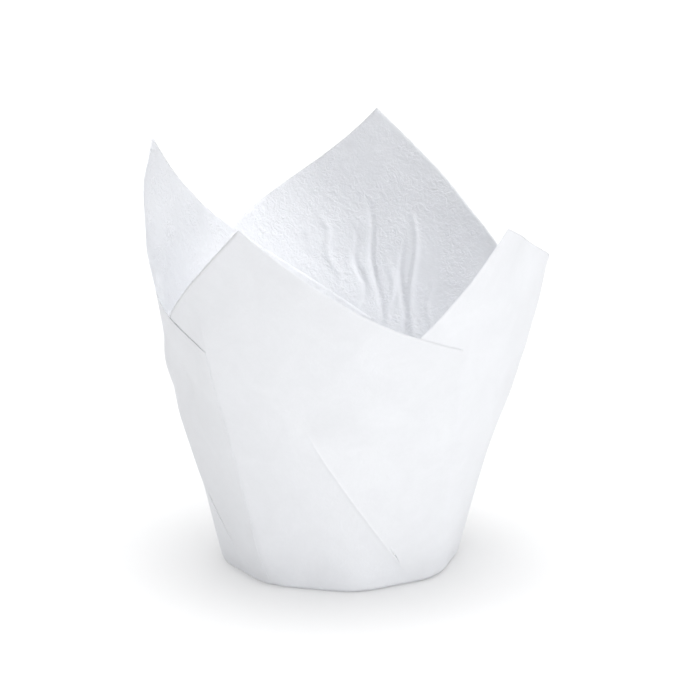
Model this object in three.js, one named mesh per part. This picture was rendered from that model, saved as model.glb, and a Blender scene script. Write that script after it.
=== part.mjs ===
// Tulip baking cup.
// One square sheet of greaseproof paper is pressed into a flared cup. Its four
// corners stand up as petals, and the paper left over between them lies against
// the wall in four flat pleats. Each panel ends in a sharp outer crease, turns
// back beneath itself to an inner crease, and turns again to become the next panel.
// Millimetres, +Z up, origin on the table under the middle of the base.
// An azimuth is measured from -Y, and grows towards +X.

import * as THREE from "three";
import { mergeVertices } from "three/addons/utils/BufferGeometryUtils.js";

// Paper
const SHEET_SIDE = 160;
const PAPER_THICKNESS = 0.12;
const LAYER_GAP = 0.18;

// Cup, with the flare in degrees from the vertical
const BASE_RADIUS = 24;
const CORNER_ROUNDING = 3;
const WALL_FLARE = 15;

// Soft facets round the base, which fade out up the wall
const FACETS = 8;
const FACET_TURN = 8;
const FACET_DEPTH = 0.5;
const FACET_HEIGHT = 11;

// Pleats: how far the next panel takes to come up to the wall's face, the ridge where
// a panel rides over the inner crease, and the corner that the wall turns at the outer one
const RISE_WIDTH = 9;
const RIDGE_HEIGHT = 0.25;
const RIDGE_FLANK = 1.2;
const CORNER_HEIGHT = 0.9;
const CORNER_WIDTH = 6;
const CORNER_START = 10;

// Petals, where foot and tip are azimuths and sway is one more, added towards the tip.
// Lean is outwards at the tip, curl is outwards at its last stretch, and drop is
// downwards. Flat is how much of the wall's round the petal loses there, and twist
// turns that flat. Tilt is the slope of the outer crease that ends the panel, from the
// wall's own line.
const PETALS = [
  { foot: 12, tip: -28, lean: -1.5, sway: 1, curl: 0, drop: 0, flat: 0.55, twist: 0, tilt: -9 },
  { foot: 96, tip: 52.5, lean: 1.5, sway: -8, curl: 0, drop: 3.4, flat: 0.35, twist: 12, tilt: -8 },
  { foot: 188, tip: 158, lean: -7, sway: 11, curl: 0, drop: 0.3, flat: 0.7, twist: 0, tilt: -8 },
  { foot: 278, tip: 242, lean: -6, sway: 0, curl: 3, drop: 0, flat: 0.8, twist: 22, tilt: -6 },
];
const LEAN_START = 38;
const CURL_LENGTH = 24;
const PETAL_FOCUS = 4;

// Mesh steps
const BASE_RING_RADIUS = 14;
const CORNER_ROWS = 8;
const WALL_ROWS = 9;
const CREASE_STEPS = 3;
const WEDGE_STEPS = 3;
const HIDDEN_STEPS = 4;
const PANEL_STEPS = 6;
const TIP_STEPS = 6;

const PAPER_COLOUR = 0xf1f2f3;
const PAPER_ROUGHNESS = 0.62;

// The cone that the wall lies on, laid out flat round its own point
const flare = THREE.MathUtils.degToRad(WALL_FLARE);
const sinFlare = Math.sin(flare);
const coneReach = BASE_RADIUS / sinFlare;
const centreReach = coneReach - BASE_RADIUS;
const halfDiagonal = SHEET_SIDE / Math.SQRT2;
const tipSlant = halfDiagonal - BASE_RADIUS;
const cornerTangent = CORNER_ROUNDING * Math.tan(Math.PI / 4 - flare / 2);
const pitch = PAPER_THICKNESS + LAYER_GAP;
const quarter = Math.PI / 4;

const rad = THREE.MathUtils.degToRad;
const lerp = THREE.MathUtils.lerp;
const smooth = THREE.MathUtils.smoothstep;
const polar = (reach, angle) => new THREE.Vector2(Math.cos(angle), Math.sin(angle)).multiplyScalar(reach);
const wrap = (angle) => THREE.MathUtils.euclideanModulo(angle + Math.PI, 2 * Math.PI) - Math.PI;
const slantOf = (point) => point.length() - coneReach;
const azimuthOf = (point) => Math.atan2(point.y, point.x) / sinFlare;

// Where two lines meet, each given by a point and a heading
function meet(a, headingA, b, headingB) {
  const along = polar(1, headingA);
  const across = polar(1, headingB);
  const gap = b.clone().sub(a);
  return a.clone().addScaledVector(along, gap.cross(across) / along.cross(across));
}

// The point that a turn takes one point to another about
function turningPoint(from, to, turn) {
  const span = to.clone().sub(from);
  const side = new THREE.Vector2(-span.y, span.x).multiplyScalar(0.5 / Math.tan(turn / 2));
  return from.clone().lerp(to, 0.5).add(side);
}

// The point of a straight line from foot to top that lies at a slant height
function atSlant(foot, top, slant) {
  const step = top.clone().sub(foot);
  const a = step.lengthSq();
  const b = foot.dot(step);
  const c = foot.lengthSq() - (coneReach + slant) ** 2;
  return foot.clone().addScaledVector(step, (Math.sqrt(Math.max(0, b * b - a * c)) - b) / a);
}

function petalAt(index) {
  const turns = Math.floor(index / PETALS.length);
  const petal = PETALS[index - turns * PETALS.length];
  return { ...petal, foot: rad(petal.foot + 360 * turns), tip: rad(petal.tip + 360 * turns) };
}

// One panel laid out on the flat cone: the sheet's centre, and its corner
function placePanel(index) {
  const { foot, tip } = petalAt(index);
  const twist = Math.sin((tip - foot) * sinFlare);
  const heading = tip * sinFlare + Math.asin((centreReach / halfDiagonal) * twist);
  const centre = polar(centreReach, foot * sinFlare);
  return { heading, centre, tip: centre.clone().add(polar(halfDiagonal, heading)) };
}

// The pleat between a panel and the next one. Both creases run up from one point,
// the apex, and the sheet's cut edge crosses them at their tops.
function placePleat(index) {
  const before = placePanel(index);
  const after = placePanel(index + 1);
  const wedge = (Math.PI / 2 - (after.heading - before.heading)) / 2;
  const apex = turningPoint(before.centre, after.centre, -2 * wedge);
  const outerHeading = Math.atan2(apex.y, apex.x) + rad(petalAt(index).tilt);
  const innerHeading = outerHeading - wedge;
  const cutBefore = before.heading + 3 * quarter;
  const cutAfter = after.heading - 3 * quarter;
  const outerTop = meet(apex, outerHeading, before.tip, cutBefore);
  const unfoldedTop = meet(apex, outerHeading + wedge, before.tip, cutBefore);
  const innerTop = apex.clone().add(polar(unfoldedTop.distanceTo(apex), innerHeading));
  const emergingTop = meet(apex, outerHeading, after.tip, cutAfter);
  return { before, after, apex, outerHeading, innerHeading, outerTop, innerTop, emergingTop };
}

// The cup's upright section: radius, height and outward direction at a slant height,
// which is 0 at the sharp corner that the rounding replaces
function section(slant) {
  if (slant <= -cornerTangent) return { radius: BASE_RADIUS + slant, height: 0, out: 0, up: -1 };
  if (slant < cornerTangent) {
    const turn = ((slant + cornerTangent) / (2 * cornerTangent)) * (Math.PI / 2 - flare);
    return {
      radius: BASE_RADIUS - cornerTangent + CORNER_ROUNDING * Math.sin(turn),
      height: CORNER_ROUNDING * (1 - Math.cos(turn)),
      out: Math.sin(turn),
      up: -Math.cos(turn),
    };
  }
  return {
    radius: BASE_RADIUS + slant * sinFlare,
    height: slant * Math.cos(flare),
    out: Math.cos(flare),
    up: -sinFlare,
  };
}

function creaseAzimuth(apex, heading, slant) {
  return azimuthOf(atSlant(apex, apex.clone().add(polar(coneReach, heading)), slant));
}

// The pleat's cross-section at a slant height. It starts at the apex as a ripple of
// two opposite bends, which close to two hairpins with a flat overlap between them.
function pleatAt(pleat, slant) {
  const level = Math.max(slant, slantOf(pleat.apex));
  const outer = creaseAzimuth(pleat.apex, pleat.outerHeading, level);
  const inner = creaseAzimuth(pleat.apex, pleat.innerHeading, level);
  const { radius } = section(slant);
  const width = (outer - inner) * radius;
  const bend = Math.PI * Math.min(1, (2 * width) / (Math.PI * pitch));
  const overlap = Math.max(0, width - (Math.PI * pitch) / 2);
  const half = (overlap - pitch * Math.sin(bend)) / 2;
  const middle = (outer + inner) / 2;
  return {
    outer,
    inner,
    bend,
    radius,
    start: middle + half / radius,
    end: middle - half / radius,
    depth: pitch * (1 - Math.cos(bend)),
  };
}

// Points of the sheet, as azimuth, slant height and depth behind the wall's face.
// Each maker below gives them for one column of the sheet.

function straightLine(foot, top) {
  return (slant) => azimuthOf(atSlant(foot, top, Math.max(slant, slantOf(foot))));
}

// The line that the ridge follows up the panel: the hidden crease, and then on to the tip
function ridgeLine(pleat) {
  const low = straightLine(pleat.apex, pleat.innerTop);
  const high = straightLine(pleat.innerTop, pleat.before.tip);
  return (slant) => (slant < slantOf(pleat.innerTop) ? low(slant) : high(slant));
}

// A straight line of the panel, drawn aside by a share of the ridge line's own bend
function drawnLine(foot, top, pleat, share) {
  const straight = straightLine(foot, top);
  const ridge = ridgeLine(pleat);
  const chord = straightLine(pleat.apex, pleat.before.tip);
  return (slant) => {
    const end = THREE.MathUtils.clamp(slant / slantOf(top), 0, 1);
    return straight(slant) + share * (ridge(slant) - chord(slant)) * (1 - end ** 4);
  };
}

function panelColumn(line, previous, next) {
  return (slant) => {
    const left = pleatAt(previous, slant);
    const right = pleatAt(next, slant);
    const share = (line(slant) - left.outer) / (right.outer - left.outer);
    const azimuth = lerp(left.outer, right.start, share);
    const along = (azimuth - left.outer) * left.radius;
    return { azimuth, slant, depth: left.depth * (1 - smooth(along, 0, RISE_WIDTH)) };
  };
}

function outerCreaseColumn(pleat, share) {
  return (slant) => {
    const { start, bend, radius } = pleatAt(pleat, slant);
    const turn = share * bend;
    const azimuth = start + ((pitch / 2) * Math.sin(turn)) / radius;
    return { azimuth, slant, depth: (pitch / 2) * (1 - Math.cos(turn)) };
  };
}

function innerCreaseColumn(pleat, share) {
  return (slant) => {
    const { end, bend, radius, depth } = pleatAt(pleat, slant);
    const turn = (1 - share) * bend;
    const azimuth = end - ((pitch / 2) * Math.sin(turn)) / radius;
    return { azimuth, slant, depth: depth - (pitch / 2) * (1 - Math.cos(turn)) };
  };
}

function wedgeColumn(pleat, share) {
  return (slant) => {
    const from = outerCreaseColumn(pleat, 1)(slant);
    const to = innerCreaseColumn(pleat, 0)(slant);
    return { azimuth: lerp(from.azimuth, to.azimuth, share), slant, depth: from.depth };
  };
}

function hiddenColumn(pleat, top) {
  return (slant) => {
    const { outer, inner, end, depth } = pleatAt(pleat, slant);
    const level = Math.max(slant, slantOf(pleat.apex));
    const line = azimuthOf(atSlant(pleat.apex, top, level));
    const share = outer - inner > 1e-9 ? (line - inner) / (outer - inner) : 0;
    return { azimuth: lerp(end, outer, share), slant, depth };
  };
}

// The columns of one quarter of the sheet in order: the panel, the outer crease,
// the wedge behind it, the inner crease and the hidden start of the next panel
function quarterColumns(index) {
  const previous = placePleat(index - 1);
  const next = placePleat(index);
  const { tip } = next.before;
  const columns = [];
  const add = (foot, top, point) => columns.push({ foot: slantOf(foot), top: slantOf(top), point });
  const addPanel = (foot, top, line) => add(foot, top, panelColumn(line, previous, next));

  for (let i = 0; i < PANEL_STEPS; i++) {
    const share = i / PANEL_STEPS;
    const azimuth = lerp(azimuthOf(previous.apex), azimuthOf(next.apex), share);
    const slant = lerp(slantOf(previous.apex), slantOf(next.apex), share);
    const foot = polar(coneReach + slant, azimuth * sinFlare);
    const top = previous.emergingTop.clone().lerp(tip, share);
    addPanel(foot, top, drawnLine(foot, top, next, share));
  }
  const ridge = ridgeLine(next);
  const flank = (slant) => ridge(slant) - ridgeShare(next, slant) * (RIDGE_FLANK / section(slant).radius);
  addPanel(next.apex, tip, flank);
  addPanel(next.apex, tip, ridge);
  for (let i = 1; i < TIP_STEPS; i++) {
    const share = i / TIP_STEPS;
    const top = tip.clone().lerp(next.outerTop, share);
    addPanel(next.apex, top, drawnLine(next.apex, top, next, 1 - share));
  }
  for (let i = 0; i <= CREASE_STEPS; i++) {
    add(next.apex, next.outerTop, outerCreaseColumn(next, i / CREASE_STEPS));
  }
  for (let i = 1; i < WEDGE_STEPS; i++) {
    const share = i / WEDGE_STEPS;
    add(next.apex, next.outerTop.clone().lerp(next.innerTop, share), wedgeColumn(next, share));
  }
  for (let i = 0; i <= CREASE_STEPS; i++) {
    add(next.apex, next.innerTop, innerCreaseColumn(next, i / CREASE_STEPS));
  }
  for (let i = 1; i < HIDDEN_STEPS; i++) {
    const top = next.innerTop.clone().lerp(next.emergingTop, i / HIDDEN_STEPS);
    add(next.apex, top, hiddenColumn(next, top));
  }
  return columns;
}

// How much of the ridge there is at a slant height: none in the base, and none past
// the top of the hidden crease
function ridgeShare(pleat, slant) {
  const top = slantOf(pleat.innerTop);
  return smooth(slant, 0, 2 * CORNER_ROUNDING) * (1 - smooth(slant, 0.75 * top, top));
}

// How far the wall stands out along the pleats: the ridge over each inner crease, and
// the soft corner at each outer one
function creaseRelief(azimuth, slant) {
  let height = 0;
  for (const pleat of pleats) {
    const { outer, inner, radius } = pleatAt(pleat, slant);
    const off = wrap(azimuth - inner) * radius;
    const share = off / Math.max((outer - inner) * radius, RIDGE_FLANK);
    const fall = Math.max(0, 1 - Math.max(0, share)) ** 2;
    height += RIDGE_HEIGHT * smooth(off, -RIDGE_FLANK, 0) * fall * ridgeShare(pleat, slant);
    const beside = Math.abs(wrap(azimuth - outer)) * radius;
    const top = slantOf(pleat.outerTop);
    const fade = smooth(slant, 0, CORNER_START) * (1 - smooth(slant, top, 1.25 * top));
    height += CORNER_HEIGHT * Math.exp(-beside / CORNER_WIDTH) * fade;
  }
  return height;
}

// The share that each petal has in the wall at an azimuth, adding up to 1
function petalShares(azimuth) {
  const pull = PETALS.map((petal) => Math.exp(PETAL_FOCUS * Math.cos(azimuth - rad(petal.tip))));
  const total = pull.reduce((sum, value) => sum + value, 0);
  return pull.map((value) => value / total);
}

// A point of the sheet in space
function place({ azimuth, slant, depth }) {
  const { radius, height, out, up } = section(slant);
  const inset = depth + PAPER_THICKNESS / 2 - creaseRelief(azimuth, slant);
  const facet = FACET_DEPTH * Math.cos(FACETS * (azimuth - rad(FACET_TURN)));
  const facetFade = slant > 0 ? Math.exp(-((slant / FACET_HEIGHT) ** 2)) : radius / BASE_RADIUS;
  const shares = petalShares(azimuth);
  const rise = Math.max(0, (slant - LEAN_START) / (tipSlant - LEAN_START)) ** 2;
  const last = Math.max(0, (slant - tipSlant + CURL_LENGTH) / CURL_LENGTH) ** 2;
  const sum = (value) => PETALS.reduce((total, petal, i) => total + shares[i] * value(petal), 0);
  const lean = sum((petal) => petal.lean * rise + petal.curl * last);
  const drop = sum((petal) => petal.drop) * rise;
  const turned = azimuth + sum((petal) => rad(petal.sway)) * rise;
  const reach = radius - inset * out + facet * facetFade + lean;

  const spot = new THREE.Vector2(Math.sin(turned), -Math.cos(turned)).multiplyScalar(reach);
  const round = spot.clone();
  PETALS.forEach((petal, i) => {
    const middle = rad(petal.tip + petal.sway * rise);
    const across = middle + rad(petal.twist);
    const plane = new THREE.Vector2(Math.sin(middle), -Math.cos(middle));
    const tangent = new THREE.Vector2(Math.cos(across), Math.sin(across));
    plane.addScaledVector(tangent, THREE.MathUtils.clamp(wrap(turned - middle), -Math.PI / 2, Math.PI / 2));
    const flat = petal.flat * smooth(slant, LEAN_START, tipSlant) * shares[i];
    spot.addScaledVector(plane.multiplyScalar(reach).sub(round), flat);
  });
  return new THREE.Vector3(spot.x, spot.y, height - inset * up - drop);
}

// The slant heights of a column's rows, from the ring in the base to the cut edge
function rowSlants({ foot, top }) {
  const slants = [BASE_RING_RADIUS - BASE_RADIUS];
  for (let i = 0; i <= CORNER_ROWS; i++) slants.push(lerp(foot, cornerTangent, i / CORNER_ROWS));
  for (let i = 1; i <= WALL_ROWS; i++) slants.push(lerp(cornerTangent, top, i / WALL_ROWS));
  return slants;
}

// The sheet's middle surface. Columns that meet at an apex share its point, and the
// triangles that this closes up are left out.
function sheetSurface() {
  const columns = [0, 1, 2, 3].flatMap(quarterColumns);
  const keys = new Map();
  const points = [];
  const pointIndex = (point) => {
    const key = point.toArray().map((value) => Math.round(value * 1000)).join();
    if (!keys.has(key)) keys.set(key, points.push(point) - 1);
    return keys.get(key);
  };
  const grid = columns.map((column) => rowSlants(column).map((slant) => pointIndex(place(column.point(slant)))));
  const centre = pointIndex(new THREE.Vector3(0, 0, PAPER_THICKNESS / 2));
  const triangles = [];
  const addTriangle = (a, b, c) => {
    if (a !== b && b !== c && c !== a) triangles.push([a, b, c]);
  };
  const edge = [];
  grid.forEach((here, i) => {
    const beside = grid[(i + 1) % grid.length];
    addTriangle(centre, beside[0], here[0]);
    for (let j = 1; j < here.length; j++) {
      addTriangle(here[j - 1], beside[j - 1], beside[j]);
      addTriangle(here[j - 1], beside[j], here[j]);
    }
    if (here.at(-1) !== beside.at(-1)) edge.push([here.at(-1), beside.at(-1)]);
  });
  return { points, triangles, edge };
}

// The outward direction at each point, weighted by the triangles round it
function pointNormals(points, triangles) {
  const normals = points.map(() => new THREE.Vector3());
  const side = new THREE.Vector3();
  const other = new THREE.Vector3();
  for (const corners of triangles) {
    for (let i = 0; i < 3; i++) {
      const [a, b, c] = [0, 1, 2].map((step) => points[corners[(i + step) % 3]]);
      side.subVectors(b, a).normalize();
      other.subVectors(c, a).normalize();
      const angle = Math.acos(THREE.MathUtils.clamp(side.dot(other), -1, 1));
      const normal = side.clone().cross(other);
      if (normal.lengthSq() > 0) normals[corners[i]].addScaledVector(normal.normalize(), angle);
    }
  }
  return normals.map((normal) => normal.normalize());
}

// The paper as a closed solid: the middle surface moved half a thickness to either
// side, with a strip along the cut edge
function thicken({ points, triangles, edge }) {
  const normals = pointNormals(points, triangles);
  const count = points.length;
  const half = PAPER_THICKNESS / 2;
  const outer = points.map((point, i) => point.clone().addScaledVector(normals[i], half));
  const inner = points.map((point, i) => point.clone().addScaledVector(normals[i], -half));
  const faces = triangles.flatMap(([a, b, c]) => [[a, b, c], [c + count, b + count, a + count]]);
  for (const [a, b] of edge) faces.push([a, b, b + count], [a, b + count, a + count]);
  const geometry = new THREE.BufferGeometry();
  const corners = [...outer, ...inner].flatMap((point) => point.toArray());
  geometry.setAttribute("position", new THREE.Float32BufferAttribute(corners, 3));
  geometry.setIndex(faces.flat());
  return mergeVertices(geometry, 1e-5);
}

const pleats = PETALS.map((petal, index) => placePleat(index));

const paper = new THREE.MeshStandardMaterial({
  color: PAPER_COLOUR,
  roughness: PAPER_ROUGHNESS,
  metalness: 0,
  name: "paper",
});

const sheet = new THREE.Mesh(thicken(sheetSurface()), paper);
sheet.name = "baking_cup";

const cup = new THREE.Group();
cup.name = "tulip_baking_cup";
cup.add(sheet);

export default cup;
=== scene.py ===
"""Tulip baking cup: the folded sheet of the frame, finished as greaseproof paper.

The sheet is laid out as in the part's source, on the cone that the wall lies on,
with many more rows and columns, and then gets its facets, creases and wrinkles.
Metres, +Z up. An azimuth is measured from -Y and grows towards +X, and a slant is
a height up the wall, which is 0 at the base's sharp corner. A point of the flat
layout is a complex number.
"""
import cmath
import math

import bmesh
import bpy
import numpy as np
from mathutils import Euler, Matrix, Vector, noise


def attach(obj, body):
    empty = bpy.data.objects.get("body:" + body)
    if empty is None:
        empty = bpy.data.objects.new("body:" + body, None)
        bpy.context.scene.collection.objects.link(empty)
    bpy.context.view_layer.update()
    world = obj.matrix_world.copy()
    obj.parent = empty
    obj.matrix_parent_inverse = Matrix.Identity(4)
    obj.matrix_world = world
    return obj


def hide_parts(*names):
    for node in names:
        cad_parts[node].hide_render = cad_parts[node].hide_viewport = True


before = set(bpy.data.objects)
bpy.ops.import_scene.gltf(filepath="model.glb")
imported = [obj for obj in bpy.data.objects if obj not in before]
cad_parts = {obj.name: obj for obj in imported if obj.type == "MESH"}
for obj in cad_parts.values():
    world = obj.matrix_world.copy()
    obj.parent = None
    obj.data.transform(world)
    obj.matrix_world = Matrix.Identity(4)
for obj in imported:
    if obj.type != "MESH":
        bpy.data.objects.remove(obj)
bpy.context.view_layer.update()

MM = 0.001

# Paper
SHEET_SIDE = 160 * MM
PAPER_THICKNESS = 0.04 * MM
LAYER_GAP = 0.01 * MM

# Cup
BASE_RADIUS = 24 * MM
CORNER_ROUNDING = 1.2 * MM
WALL_FLARE = math.radians(15)

# Soft facets round the base
FACETS = 8
FACET_TURN = math.radians(8)
FACET_DEPTH = 0.5 * MM
FACET_HEIGHT = 11 * MM

# Pleats: how far the next panel takes to come up to the wall's face, the soft crest
# and the crease line where a panel rides over the inner crease, and the corner that
# the wall turns at the outer one. Each comes in from the base up to its start. The
# crest fades from a share of the hidden crease's height, and the corner fades out at
# a multiple of its own. The line's columns take up at most a share of their room.
RISE_WIDTH = 9 * MM
RIDGE_HEIGHT = 0.7 * MM
RIDGE_WIDTH = 5 * MM
RIDGE_START = 8 * MM
RIDGE_FADE = 0.75
LINE_HEIGHT = 0.1 * MM
LINE_WIDTH = 0.22 * MM
LINE_START = 16 * MM
LINE_ROOM = 0.4
CORNER_HEIGHT = 1.2 * MM
CORNER_WIDTH = 6 * MM
CORNER_START = 10 * MM
CORNER_FADE = 1.25

# Wrinkles pressed into the back petal: azimuth in degrees, lowest and highest slant,
# height inwards, and slope in degrees from foot to top. A wrinkle's height follows half
# a sine wave, to the power of its bulge. Its line wavers by an angle, in radians, at a
# rate from end to end.
WRINKLES = [
    (172, 44 * MM, 60 * MM, -0.55 * MM, 1),
    (166.5, 38 * MM, 68 * MM, -0.6 * MM, 1.5),
    (162.5, 38 * MM, 56 * MM, 0.35 * MM, 0),
    (158.5, 30 * MM, 60 * MM, -0.5 * MM, -0.5),
    (154.5, 32 * MM, 66 * MM, 0.5 * MM, -0.5),
    (187, 53 * MM, 62 * MM, -0.3 * MM, 4),
    (180, 49 * MM, 64 * MM, 0.4 * MM, 2),
    (147, 36 * MM, 52 * MM, 0.25 * MM, 2),
]
WRINKLE_WIDTH = 0.6 * MM
WRINKLE_BULGE = 0.7
WRINKLE_WAVER = 0.02
WAVER_RATE = 9

# Dents and bulges: azimuth in degrees, slant, how far they reach across and along the
# wall, and height outwards
DENTS = [
    (272, 56 * MM, 8 * MM, 6 * MM, -1.3 * MM),
    (274, 44 * MM, 7 * MM, 5 * MM, 0.7 * MM),
    (296, 44 * MM, 4 * MM, 9 * MM, -0.8 * MM),
    (-12, 39 * MM, 2.5 * MM, 2 * MM, -0.25 * MM),
    (283, 66 * MM, 9 * MM, 8 * MM, -1.4 * MM),
    (252, 79 * MM, 9 * MM, 9 * MM, 1.7 * MM),
    (70, 77 * MM, 9 * MM, 9 * MM, -2.8 * MM),
    (92, 67 * MM, 8 * MM, 6 * MM, -0.6 * MM),
    (95, 46 * MM, 13 * MM, 15 * MM, 1.9 * MM),
    (134, 67 * MM, 7 * MM, 7 * MM, -0.7 * MM),
    (20, 46 * MM, 6 * MM, 5 * MM, -0.25 * MM),
    (120, 50 * MM, 6 * MM, 7 * MM, 0.5 * MM),
    (205, 42 * MM, 5 * MM, 8 * MM, -0.5 * MM),
]

# Broad waves and small cockles all over the wall, and the slants over which they come in
WAVE_HEIGHT = 0.3 * MM
WAVE_SIZE = 13 * MM
COCKLE_HEIGHT = 0.05 * MM
COCKLE_SIZE = 4 * MM
WAVE_START = 5 * MM
WAVE_FULL = 30 * MM
SEED = 11

# Petals: azimuths of foot and tip and the sway at the tip in degrees, the lean and
# curl outwards and the drop at the tip in millimetres, the share of roundness lost,
# and in degrees the twist of the petal's flat and the tilt of the outer crease that
# ends the panel. Lean, sway and drop start at one slant, curl near the tip, and the
# focus is how sharply one petal's values give way to the next one's.
PETALS = [
    dict(foot=12, tip=-28, lean=0, sway=2.4, curl=0, drop=-0.3, flat=0.55, twist=0, tilt=-9),
    dict(foot=96, tip=52.5, lean=1.5, sway=-8, curl=0, drop=2.2, flat=0.35, twist=12, tilt=-8),
    dict(foot=188, tip=158, lean=-7, sway=11, curl=0, drop=0.3, flat=0.7, twist=0, tilt=-8),
    dict(foot=278, tip=242, lean=-6, sway=0, curl=3, drop=0, flat=0.8, twist=22, tilt=-6),
]
LEAN_START = 38 * MM
CURL_LENGTH = 24 * MM
PETAL_FOCUS = 4

# Finish: the sizes of the pulp's clouds, fibres and flecks, the part of each pattern's
# range that shows, and how strongly the grain comes out between and in the clouds. Each
# face of the paper has its roughness, how much the pulp darkens it, and its grain's depth.
PAPER_COLOUR = (0.9, 0.912, 0.94)
TRANSLUCENCE = 0.1
CLOUD_SIZE = 9 * MM
FIBRE_SIZE = 2 * MM
FLECK_SIZE = 1 * MM
CLOUD_SPAN = (0.3, 0.7)
FIBRE_SPAN = (0.35, 0.65)
PATCH_SPAN = (0.35, 0.65)
PATCH_GRAIN = (0.3, 1.5)
NOISE_ROUGHNESS = 0.65
ROUGHNESS_SPREAD = 0.1
OUTER_FACE = (0.6, 0.035, 0.06 * MM)
INNER_FACE = (0.48, 0.05, 0.4 * MM)

# Mesh steps, how sharply drawn columns straighten at their ends, and the distance at
# which points are one
BASE_RINGS = (4 * MM, 9 * MM, 14 * MM)
CORNER_ROWS = 16
WALL_ROWS = 92
CREASE_STEPS = 4
WEDGE_STEPS = 9
HIDDEN_STEPS = 9
LINE_PARTS = (-2, -1, 0, 1, 2)
STRAIGHTENING = 4
STRAIGHTENING_REACH = 1.1
MERGE_DISTANCE = 0.001 * MM
NO_GAP = 1e-9

# Columns of each panel before and after its ridge, as runs of a share and its steps.
# They are close together where the wrinkles are.
PLAIN_RUNS = ([(1, 24)], [(1, 22)])
WRINKLED_RUNS = ([(0.3, 8), (0.7, 52)], [(0.5, 44), (0.5, 10)])
PANEL_RUNS = [PLAIN_RUNS, PLAIN_RUNS, WRINKLED_RUNS, PLAIN_RUNS]

# Camera, from the photograph: its angle, its reach, the frame's width at the base's
# middle, and where that middle lies in the frame, in pixels
CAMERA_ELEVATION = math.radians(18.5)
CAMERA_REACH = 2.5
PHOTO_PIXELS = 700
PIXELS_PER_METRE = 4800
BASE_PIXEL = (340.5, 553.5)
SENSOR_WIDTH = 36.0
CAMERA_CLIP = 20

# Floor and light. The key light and the glow reach only the cup, and the sweep only
# the floor, which it lights without a shadow.
FLOOR_HALF = 3.0
FLOOR_SHADE = 0.9
FLOOR_ROUGHNESS = 0.9
WORLD_STRENGTH = 0.46
KEY_SUN = dict(azimuth=38, elevation=41, strength=1.5, spread=45)
TOP_SUN = dict(azimuth=180, elevation=86, strength=2.0, spread=50)
SWEEP_SUN = dict(azimuth=0, elevation=60, strength=0.68, spread=30, shadow=False)
GLOW_SPOT = (-45 * MM, -85 * MM, 4 * MM)
GLOW_POWER = 0.018
GLOW_SIZE = 20 * MM

flare_sine = math.sin(WALL_FLARE)
flare_cosine = math.cos(WALL_FLARE)
cone_reach = BASE_RADIUS / flare_sine
centre_reach = cone_reach - BASE_RADIUS
half_diagonal = SHEET_SIDE / math.sqrt(2)
tip_slant = half_diagonal - BASE_RADIUS
corner_tangent = CORNER_ROUNDING * math.tan(math.pi / 4 - WALL_FLARE / 2)
pitch = PAPER_THICKNESS + LAYER_GAP

# A cut edge leaves the sheet's corner at this angle to the way that the corner points
EDGE_TURN = 3 * math.pi / 4


def lerp(start, end, share):
    return start + (end - start) * share


def smooth(value, low, high):
    share = np.clip((value - low) / (high - low), 0, 1)
    return share * share * (3 - 2 * share)


def wrap(angle):
    return (angle + np.pi) % (2 * np.pi) - np.pi


def slant_of(point):
    return abs(point) - cone_reach


def azimuth_of(point):
    return np.angle(point) / flare_sine


def meet(start_a, heading_a, start_b, heading_b):
    """Where two lines meet, each given by a point and a heading."""
    along, across = cmath.rect(1, heading_a), cmath.rect(1, heading_b)
    gap = start_b - start_a
    cross = (gap.conjugate() * across).imag / (along.conjugate() * across).imag
    return start_a + along * cross


def line_azimuth(foot, top, slant):
    """The azimuth at which a straight line of the layout passes each slant."""
    step = top - foot
    a, b = abs(step) ** 2, (foot.conjugate() * step).real
    c = abs(foot) ** 2 - (cone_reach + np.maximum(slant, slant_of(foot))) ** 2
    return azimuth_of(foot + step * (np.sqrt(np.maximum(0, b * b - a * c)) - b) / a)


def petal_at(index):
    """A petal's values, where an index past either end goes on round the cup."""
    turns, place_in_ring = divmod(index, len(PETALS))
    petal = PETALS[place_in_ring]
    return {**petal, "foot": petal["foot"] + 360 * turns, "tip": petal["tip"] + 360 * turns}


class Panel:
    """One panel laid out flat: the sheet's centre, and its corner."""

    def __init__(self, index):
        petal = petal_at(index)
        foot, tip = (math.radians(petal[key]) * flare_sine for key in ("foot", "tip"))
        self.heading = tip + math.asin(centre_reach / half_diagonal * math.sin(tip - foot))
        self.centre = cmath.rect(centre_reach, foot)
        self.tip = self.centre + cmath.rect(half_diagonal, self.heading)


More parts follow.
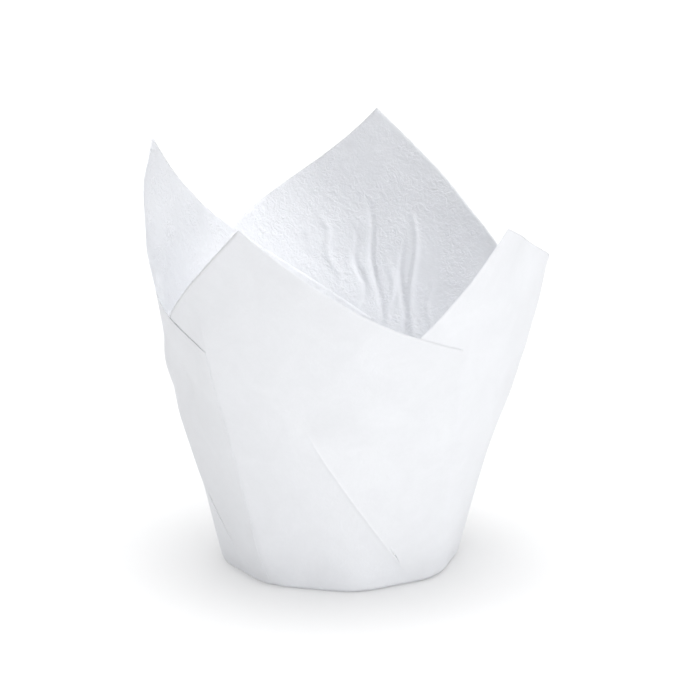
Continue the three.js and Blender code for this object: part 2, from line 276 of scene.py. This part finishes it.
class Pleat:
    """The pleat between a panel and the next one."""

    def __init__(self, index):
        self.before, self.after = Panel(index), Panel(index + 1)
        wedge = (math.pi / 2 - (self.after.heading - self.before.heading)) / 2
        turn = cmath.exp(-2j * wedge)
        self.apex = (self.after.centre - turn * self.before.centre) / (1 - turn)
        self.outer_heading = cmath.phase(self.apex) + math.radians(petal_at(index)["tilt"])
        self.inner_heading = self.outer_heading - wedge
        cut_before = self.before.heading + EDGE_TURN
        cut_after = self.after.heading - EDGE_TURN
        self.outer_top = meet(self.apex, self.outer_heading, self.before.tip, cut_before)
        unfolded = meet(self.apex, self.outer_heading + wedge, self.before.tip, cut_before)
        self.inner_top = self.apex + cmath.rect(abs(unfolded - self.apex), self.inner_heading)
        self.emerging_top = meet(self.apex, self.outer_heading, self.after.tip, cut_after)

    def crease(self, heading, slant):
        return line_azimuth(self.apex, self.apex + cmath.rect(cone_reach, heading), slant)

    def at(self, slant):
        """The cross-section at each slant: two opposite bends that close to hairpins."""
        outer = self.crease(self.outer_heading, slant)
        inner = self.crease(self.inner_heading, slant)
        radius = section(slant)[0]
        width = (outer - inner) * radius
        bend = np.pi * np.minimum(1, 2 * width / (np.pi * pitch))
        overlap = np.maximum(0, width - np.pi * pitch / 2)
        half = (overlap - pitch * np.sin(bend)) / 2
        middle = (outer + inner) / 2
        start, end = middle + half / radius, middle - half / radius
        return outer, inner, start, end, bend, radius, pitch * (1 - np.cos(bend))


def section(slant):
    """The upright section: radius, height, and the outward direction's two parts."""
    slant = np.asarray(slant, float)
    turn = (slant + corner_tangent) / (2 * corner_tangent) * (np.pi / 2 - WALL_FLARE)
    base, wall = slant <= -corner_tangent, slant >= corner_tangent
    corner_radius = BASE_RADIUS - corner_tangent + CORNER_ROUNDING * np.sin(turn)
    wall_radius = BASE_RADIUS + slant * flare_sine
    radius = np.where(base, BASE_RADIUS + slant, np.where(wall, wall_radius, corner_radius))
    corner_height = CORNER_ROUNDING * (1 - np.cos(turn))
    height = np.where(base, 0, np.where(wall, slant * flare_cosine, corner_height))
    out = np.where(base, 0, np.where(wall, flare_cosine, np.sin(turn)))
    up = np.where(base, -1, np.where(wall, -flare_sine, -np.cos(turn)))
    return radius, height, out, up


# Points of the sheet, as azimuth, slant and depth behind the wall's face. Each
# maker below gives them for one column of the sheet.

def panel_column(line, previous, following):
    def points(slant):
        left_outer, _, _, _, _, radius, depth = previous.at(slant)
        right_outer, _, right_start, *_ = following.at(slant)
        share = (line(slant) - left_outer) / (right_outer - left_outer)
        azimuth = lerp(left_outer, right_start, share)
        along = (azimuth - left_outer) * radius
        return azimuth, depth * (1 - smooth(along, 0, RISE_WIDTH))
    return points


def outer_crease_column(pleat, share):
    def points(slant):
        _, _, start, _, bend, radius, _ = pleat.at(slant)
        turn = share * bend
        return start + pitch / 2 * np.sin(turn) / radius, pitch / 2 * (1 - np.cos(turn))
    return points


def inner_crease_column(pleat, share):
    def points(slant):
        _, _, _, end, bend, radius, depth = pleat.at(slant)
        turn = (1 - share) * bend
        return end - pitch / 2 * np.sin(turn) / radius, depth - pitch / 2 * (1 - np.cos(turn))
    return points


def wedge_column(pleat, share):
    def points(slant):
        start, depth = outer_crease_column(pleat, 1)(slant)
        end, _ = inner_crease_column(pleat, 0)(slant)
        return lerp(start, end, share), depth
    return points


def hidden_column(pleat, top):
    def points(slant):
        outer, inner, _, end, _, _, depth = pleat.at(slant)
        gap = outer - inner
        share = (line_azimuth(pleat.apex, top, slant) - inner) / np.where(gap > NO_GAP, gap, 1)
        return lerp(end, outer, np.where(gap > NO_GAP, share, 0)), depth
    return points


def panel_shares(runs):
    """Shares from 0 to 1, in runs that each have their own number of steps."""
    widths = [share / steps for share, steps in runs for _ in range(steps)]
    return np.cumsum([0] + widths)


def ridge_line(pleat, slant):
    """The azimuth of a panel's ridge: over the inner crease, and then on to the tip."""
    low = line_azimuth(pleat.apex, pleat.inner_top, slant)
    high = line_azimuth(pleat.inner_top, pleat.before.tip, slant)
    return np.where(slant < slant_of(pleat.inner_top), low, high)


def drawn_line(pleat, foot, top, share):
    """A straight line, drawn aside by its share of the ridge line's own bend."""
    def line(slant):
        bend = ridge_line(pleat, slant) - line_azimuth(pleat.apex, pleat.before.tip, slant)
        power = STRAIGHTENING / (STRAIGHTENING_REACH - share)
        end = np.clip(slant / slant_of(top), 0, 1) ** power
        return line_azimuth(foot, top, slant) + share * bend * (1 - end)
    return line


def line_beside(pleat, part, column_share):
    """A line beside the ridge, in parts of the crease line's width."""
    def line(slant):
        outer, *_, radius, _ = pleat.at(slant)
        ridge = ridge_line(pleat, slant)
        room = (outer - ridge) * radius * column_share
        width = np.clip(LINE_ROOM * room, 0, LINE_WIDTH) if part > 0 else LINE_WIDTH
        return ridge + part * width * ridge_share(pleat, slant) / radius
    return line


def column(foot, top, points):
    """A column of the sheet: the slants of its foot and top, and its points."""
    return slant_of(foot), slant_of(top), points


def panel_columns(index):
    """The columns of a panel: up to its ridge, along it, and on to its outer crease."""
    previous, pleat = Pleat(index - 1), Pleat(index)
    tip, apex = pleat.before.tip, pleat.apex
    before, after = (panel_shares(runs) for runs in PANEL_RUNS[index])
    lines = []
    for share in before[:-1]:
        azimuth = lerp(azimuth_of(previous.apex), azimuth_of(apex), share)
        slant = lerp(slant_of(previous.apex), slant_of(apex), share)
        foot = cmath.rect(cone_reach + slant, azimuth * flare_sine)
        top = lerp(previous.emerging_top, tip, share)
        lines.append((foot, top, drawn_line(pleat, foot, top, share)))
    for part in LINE_PARTS:
        lines.append((apex, tip, line_beside(pleat, part, after[1])))
    for share in after[1:-1]:
        top = lerp(tip, pleat.outer_top, share)
        lines.append((apex, top, drawn_line(pleat, apex, top, 1 - share)))
    return [column(foot, top, panel_column(line, previous, pleat)) for foot, top, line in lines]


def pleat_columns(index):
    """The columns of a pleat: outer crease, wedge, inner crease, and hidden part."""
    pleat = Pleat(index)
    tops = pleat.outer_top, pleat.inner_top, pleat.emerging_top
    bends = [i / CREASE_STEPS for i in range(CREASE_STEPS + 1)]
    columns = [column(pleat.apex, tops[0], outer_crease_column(pleat, bend)) for bend in bends]
    for i in range(1, WEDGE_STEPS):
        share = i / WEDGE_STEPS
        top = lerp(tops[0], tops[1], share)
        columns.append(column(pleat.apex, top, wedge_column(pleat, share)))
    columns += [column(pleat.apex, tops[1], inner_crease_column(pleat, bend)) for bend in bends]
    for i in range(1, HIDDEN_STEPS):
        top = lerp(tops[1], tops[2], i / HIDDEN_STEPS)
        columns.append(column(pleat.apex, top, hidden_column(pleat, top)))
    return columns


pleats = [Pleat(index) for index in range(len(PETALS))]


def ridge_share(pleat, slant):
    """How much of the ridge there is: none in the base or past the hidden crease."""
    top = slant_of(pleat.inner_top)
    return smooth(slant, 0, RIDGE_START) * (1 - smooth(slant, RIDGE_FADE * top, top))


def crease_relief(azimuth, slant, depth):
    """How far the wall stands out along the pleats: the crest and the crease line over
    each inner crease, and the soft corner that the wall turns at each outer one."""
    height = np.zeros_like(slant)
    for pleat in pleats:
        outer, inner, *_, radius, _ = pleat.at(slant)
        off = np.abs(wrap(azimuth - inner)) * radius
        crest = RIDGE_HEIGHT * np.exp(-off / RIDGE_WIDTH)
        line = LINE_HEIGHT * np.exp(-((off / LINE_WIDTH) ** 2)) * smooth(slant, 0, LINE_START)
        height += (crest + np.where(depth < pitch / 2, line, 0)) * ridge_share(pleat, slant)
        beside = np.abs(wrap(azimuth - outer)) * radius
        top = slant_of(pleat.outer_top)
        fade = smooth(slant, 0, CORNER_START) * (1 - smooth(slant, top, CORNER_FADE * top))
        height += CORNER_HEIGHT * np.exp(-beside / CORNER_WIDTH) * fade
    return height


def wrinkle_relief(azimuth, slant):
    """How far the wall is pressed inwards by its wrinkles and the paper's own waves."""
    height = np.zeros_like(slant)
    radius = section(slant)[0]
    for middle, low, high, depth, lean in WRINKLES:
        along = np.clip((slant - low) / (high - low), 0, 1)
        line = math.radians(middle) + math.radians(lean) * along
        line = line + WRINKLE_WAVER * np.sin(WAVER_RATE * along + middle)
        off = wrap(azimuth - line) * radius / WRINKLE_WIDTH
        height += depth * np.exp(-off * off) * np.sin(np.pi * along) ** WRINKLE_BULGE
    for middle, level, across, along, out in DENTS:
        off = wrap(azimuth - math.radians(middle)) * radius / across
        height -= out * np.exp(-off * off - ((slant - level) / along) ** 2)
    wall = smooth(slant, WAVE_START, WAVE_FULL)
    for i in np.ndindex(slant.shape):
        turn = azimuth[i]
        spot = Vector((radius[i] * math.cos(turn), radius[i] * math.sin(turn), slant[i]))
        wave = WAVE_HEIGHT * noise.noise(spot / WAVE_SIZE + Vector((SEED, 0, 0)))
        cockle = COCKLE_HEIGHT * noise.noise(spot / COCKLE_SIZE + Vector((0, SEED, 0)))
        height[i] += (wave + cockle) * wall[i]
    return height


def place(azimuth, slant, depth):
    """Points of the sheet in space."""
    radius, height, out, up = section(slant)
    relief = crease_relief(azimuth, slant, depth) - wrinkle_relief(azimuth, slant)
    inset = depth + PAPER_THICKNESS / 2 - relief
    facet = FACET_DEPTH * np.cos(FACETS * (azimuth - FACET_TURN))
    facet_fade = np.where(slant > 0, np.exp(-((slant / FACET_HEIGHT) ** 2)), radius / BASE_RADIUS)
    pull = [np.exp(PETAL_FOCUS * np.cos(azimuth - math.radians(p["tip"]))) for p in PETALS]
    shares = [value / sum(pull) for value in pull]
    rise = np.maximum(0, (slant - LEAN_START) / (tip_slant - LEAN_START)) ** 2
    last = np.maximum(0, (slant - tip_slant + CURL_LENGTH) / CURL_LENGTH) ** 2

    def blend(value):
        return sum(share * value(petal) for share, petal in zip(shares, PETALS))

    lean = MM * (blend(lambda p: p["lean"]) * rise + blend(lambda p: p["curl"]) * last)
    drop = MM * blend(lambda p: p["drop"]) * rise
    turned = azimuth + blend(lambda p: math.radians(p["sway"])) * rise
    reach = radius - inset * out + facet * facet_fade + lean
    spot = reach * np.exp(1j * (turned - np.pi / 2))
    bent = spot.copy()
    for share, petal in zip(shares, PETALS):
        middle = math.radians(petal["tip"]) + math.radians(petal["sway"]) * rise
        off = np.clip(wrap(turned - middle), -np.pi / 2, np.pi / 2)
        across = 1j * off * cmath.exp(1j * math.radians(petal["twist"]))
        plane = reach * (1 + across) * np.exp(1j * (middle - np.pi / 2))
        bent += (plane - spot) * petal["flat"] * smooth(slant, LEAN_START, tip_slant) * share
    return np.stack([bent.real, bent.imag, height - inset * up - drop], axis=-1)


def row_slants(foot, top):
    base = np.array(BASE_RINGS) - BASE_RADIUS
    corner = np.linspace(foot, corner_tangent, CORNER_ROWS + 1)
    wall = np.linspace(corner_tangent, top, WALL_ROWS + 1)[1:]
    return np.concatenate([base, corner, wall])


def sheet_mesh():
    """The sheet's middle surface, with the columns that meet at an apex merged there."""
    columns = []
    for index in range(len(PETALS)):
        columns += panel_columns(index) + pleat_columns(index)
    grid = []
    for foot, top, points in columns:
        slant = row_slants(foot, top)
        azimuth, depth = points(slant)
        grid.append(place(azimuth, slant, depth))
    grid = np.array(grid)
    count, rows = grid.shape[:2]
    corners = [(0.0, 0.0, PAPER_THICKNESS / 2)] + [tuple(p) for p in grid.reshape(-1, 3)]
    faces = []
    for i in range(count):
        here, beside = 1 + i * rows, 1 + (i + 1) % count * rows
        faces.append((0, beside, here))
        for j in range(rows - 1):
            faces.append((here + j, beside + j, beside + j + 1, here + j + 1))
    mesh = bpy.data.meshes.new("sheet")
    mesh.from_pydata(corners, [], faces)
    shape = bmesh.new()
    shape.from_mesh(mesh)
    bmesh.ops.remove_doubles(shape, verts=shape.verts, dist=MERGE_DISTANCE)
    for face in shape.faces:
        face.smooth = True
    shape.to_mesh(mesh)
    shape.free()
    return mesh


def paper_material(name, face):
    """Thin white paper with clouds in its pulp, and with a fibre grain."""
    roughness, mottle, grain = face
    material = bpy.data.materials.new(name)
    material.use_nodes = True
    nodes, links = material.node_tree.nodes, material.node_tree.links
    nodes.clear()
    position = nodes.new("ShaderNodeTexCoord").outputs["Object"]

    def pattern(size, detail, distortion):
        node = nodes.new("ShaderNodeTexNoise")
        node.inputs["Scale"].default_value = 1 / size
        node.inputs["Detail"].default_value = detail
        node.inputs["Roughness"].default_value = NOISE_ROUGHNESS
        node.inputs["Distortion"].default_value = distortion
        links.new(position, node.inputs["Vector"])
        return node.outputs[0]

    def span(value, shown, result):
        """Maps the shown part of a value's range onto the result's range."""
        node = nodes.new("ShaderNodeMapRange")
        for i, number in enumerate((*shown, *result), start=1):
            node.inputs[i].default_value = number
        links.new(value, node.inputs[0])
        return node.outputs[0]

    def times(a, b):
        node = nodes.new("ShaderNodeMath")
        node.operation = "MULTIPLY"
        links.new(a, node.inputs[0])
        links.new(b, node.inputs[1])
        return node.outputs[0]

    clouds = pattern(CLOUD_SIZE, detail=3, distortion=0.6)
    fibres = pattern(FIBRE_SIZE, detail=4, distortion=2.4)
    flecks = pattern(FLECK_SIZE, detail=2, distortion=1)
    cloud_shade = span(clouds, CLOUD_SPAN, (1 - mottle, 1))
    fibre_shade = span(fibres, FIBRE_SPAN, (1 - mottle / 2, 1))
    tint = nodes.new("ShaderNodeVectorMath")
    tint.operation = "SCALE"
    tint.inputs[0].default_value = PAPER_COLOUR
    links.new(times(cloud_shade, fibre_shade), tint.inputs["Scale"])
    bump = nodes.new("ShaderNodeBump")
    bump.inputs["Strength"].default_value = 1
    bump.inputs["Distance"].default_value = grain
    patches = span(clouds, PATCH_SPAN, PATCH_GRAIN)
    links.new(times(times(fibres, flecks), patches), bump.inputs["Height"])

    front = nodes.new("ShaderNodeBsdfPrincipled")
    roughnesses = roughness - ROUGHNESS_SPREAD, roughness + ROUGHNESS_SPREAD
    links.new(tint.outputs[0], front.inputs["Base Color"])
    links.new(span(fibres, FIBRE_SPAN, roughnesses), front.inputs["Roughness"])
    links.new(bump.outputs[0], front.inputs["Normal"])
    through = nodes.new("ShaderNodeBsdfTranslucent")
    links.new(tint.outputs[0], through.inputs["Color"])
    mix = nodes.new("ShaderNodeMixShader")
    mix.inputs[0].default_value = TRANSLUCENCE
    links.new(front.outputs[0], mix.inputs[1])
    links.new(through.outputs[0], mix.inputs[2])
    output = nodes.new("ShaderNodeOutputMaterial")
    links.new(mix.outputs[0], output.inputs["Surface"])
    return material


def make_cup():
    cup = bpy.data.objects.new("folded_paper", sheet_mesh())
    bpy.context.scene.collection.objects.link(cup)
    cup.data.materials.append(paper_material("paper_outer", OUTER_FACE))
    cup.data.materials.append(paper_material("paper_inner", INNER_FACE))
    solid = cup.modifiers.new("thickness", "SOLIDIFY")
    solid.thickness = PAPER_THICKNESS
    solid.offset = 0
    solid.material_offset = 1
    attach(cup, "root")
    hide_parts("baking_cup")
    return cup


def make_floor():
    corners = [(x * FLOOR_HALF, y * FLOOR_HALF, 0) for x, y in ((-1, -1), (1, -1), (1, 1), (-1, 1))]
    mesh = bpy.data.meshes.new("floor")
    mesh.from_pydata(corners, [], [(0, 1, 2, 3)])
    floor = bpy.data.objects.new("floor", mesh)
    bpy.context.scene.collection.objects.link(floor)
    material = bpy.data.materials.new("floor")
    material.use_nodes = True
    shader = material.node_tree.nodes["Principled BSDF"]
    shader.inputs["Base Color"].default_value = (FLOOR_SHADE, FLOOR_SHADE, FLOOR_SHADE, 1)
    shader.inputs["Roughness"].default_value = FLOOR_ROUGHNESS
    mesh.materials.append(material)
    return floor


def make_camera():
    data = bpy.data.cameras.new("camera")
    data.sensor_width = SENSOR_WIDTH
    frame_width = PHOTO_PIXELS / PIXELS_PER_METRE
    data.lens = SENSOR_WIDTH * CAMERA_REACH / frame_width
    data.clip_end = CAMERA_CLIP
    camera = bpy.data.objects.new("camera", data)
    camera.rotation_euler = (math.pi / 2 - CAMERA_ELEVATION, 0, 0)
    across = (PHOTO_PIXELS / 2 - BASE_PIXEL[0]) / PIXELS_PER_METRE
    above = (BASE_PIXEL[1] - PHOTO_PIXELS / 2) / PIXELS_PER_METRE
    turn = camera.rotation_euler.to_matrix()
    camera.location = turn @ Vector((across, above, CAMERA_REACH))
    bpy.context.scene.collection.objects.link(camera)
    bpy.context.scene.camera = camera


def add_sun(name, azimuth, elevation, strength, spread, receivers=(), shadow=True):
    """A soft far light from an azimuth and elevation, in degrees. With receivers, it
    lights only those objects."""
    data = bpy.data.lights.new(name, "SUN")
    data.energy = strength
    data.angle = math.radians(spread)
    data.use_shadow = shadow
    sun = bpy.data.objects.new(name, data)
    sun.rotation_euler = Euler((math.radians(90 - elevation), 0, math.radians(azimuth)))
    bpy.context.scene.collection.objects.link(sun)
    if receivers:
        light_only(sun, receivers)


def add_glow(name, spot, power, size, receivers):
    """A near soft light that lights only some objects."""
    data = bpy.data.lights.new(name, "POINT")
    data.energy = power
    data.shadow_soft_size = size
    glow = bpy.data.objects.new(name, data)
    glow.location = spot
    bpy.context.scene.collection.objects.link(glow)
    light_only(glow, receivers)


def light_only(light, receivers):
    lit = bpy.data.collections.new(light.name + "_receivers")
    for receiver in receivers:
        lit.objects.link(receiver)
    light.light_linking.receiver_collection = lit


def make_light(cup, floor):
    world = bpy.data.worlds.new("studio")
    world.use_nodes = True
    background = world.node_tree.nodes["Background"]
    background.inputs["Color"].default_value = (1, 1, 1, 1)
    background.inputs["Strength"].default_value = WORLD_STRENGTH
    bpy.context.scene.world = world
    add_sun("key", **KEY_SUN, receivers=[cup])
    add_glow("glow", GLOW_SPOT, GLOW_POWER, GLOW_SIZE, [cup])
    add_sun("top", **TOP_SUN)
    add_sun("sweep", **SWEEP_SUN, receivers=[floor])
    bpy.context.scene.view_settings.view_transform = "Standard"


make_camera()
make_light(make_cup(), make_floor())
